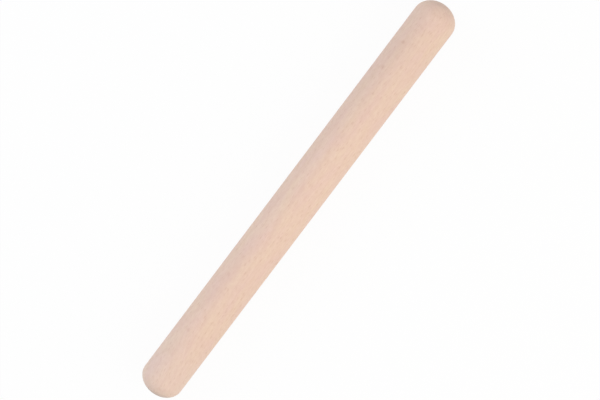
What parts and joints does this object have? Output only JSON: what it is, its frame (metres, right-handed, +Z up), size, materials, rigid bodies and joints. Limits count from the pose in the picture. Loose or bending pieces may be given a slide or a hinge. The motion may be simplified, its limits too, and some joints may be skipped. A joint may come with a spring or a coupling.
{
  "type": "french rolling pin",
  "caption": "Straight one-piece wooden rolling pin: a plain round barrel with domed ends and no handles, rolled under the palms to flatten dough.",
  "frame": {"origin": "centre: on the pin's turning axis, midway between its two tips", "axes": "+X along the turning axis, +Y across the pin, the way it rolls over a worktop, +Z up from that worktop"},
  "size_m": [0.4826, 0.0444, 0.0444],
  "materials": {
    "beech": "sanded smooth, bare or lightly oiled"
  },
  "bodies": {
    "root": {"turned_pin": "beech"}
  },
  "joints": []
}
